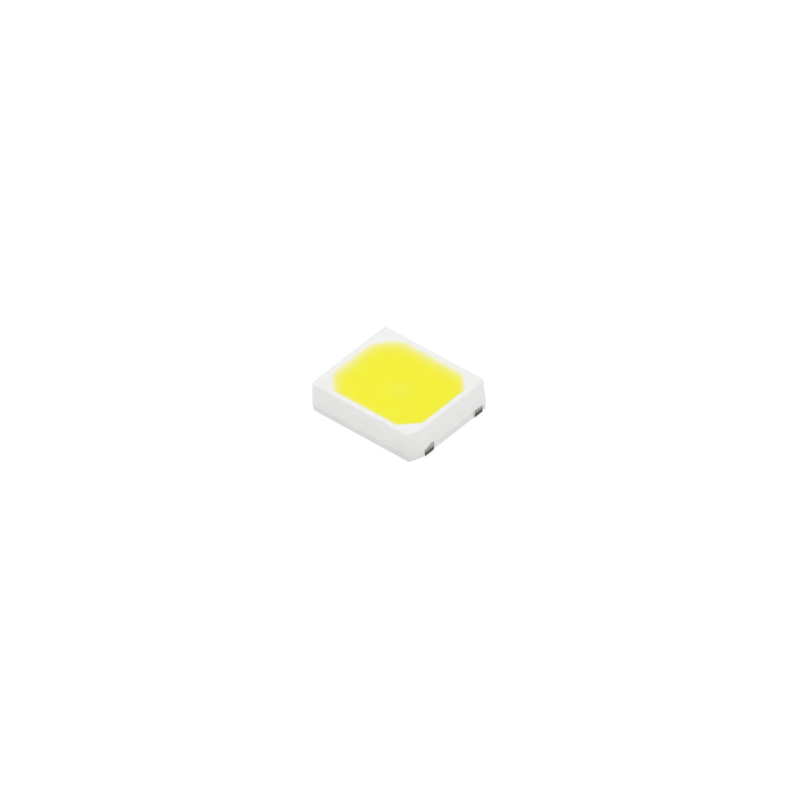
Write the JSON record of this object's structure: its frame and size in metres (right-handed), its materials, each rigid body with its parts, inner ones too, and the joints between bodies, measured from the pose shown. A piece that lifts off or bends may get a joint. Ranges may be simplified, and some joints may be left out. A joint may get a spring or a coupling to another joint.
{
  "type": "surface-mount light-emitting diode",
  "caption": "Small white surface-mount lamp: a moulded reflector with an octagonal cup of yellow phosphor silicone, a cut corner, and flat solder leads with tabs at its short ends.",
  "frame": {"origin": "centre of the solder plane, on the underside of the two leads", "axes": "+Z out of the light-emitting top, +X along the package towards the end with the cut corner (cathode), +Y across it"},
  "size_m": [0.0034, 0.0028, 0.0009],
  "materials": {
    "white_moulding": "matte",
    "silver_plate": "satin",
    "phosphor_silicone": "satin",
    "sapphire": "polished",
    "clear_adhesive": "satin",
    "gold": "gloss"
  },
  "bodies": {
    "root": {"housing": "white_moulding", "cathode_lead": "silver_plate", "anode_lead": "silver_plate", "phosphor_fill": "phosphor_silicone", "led_chip": "sapphire", "die_attach": "clear_adhesive", "cathode_bond_wire": "gold", "anode_bond_wire": "gold"}
  },
  "joints": []
}
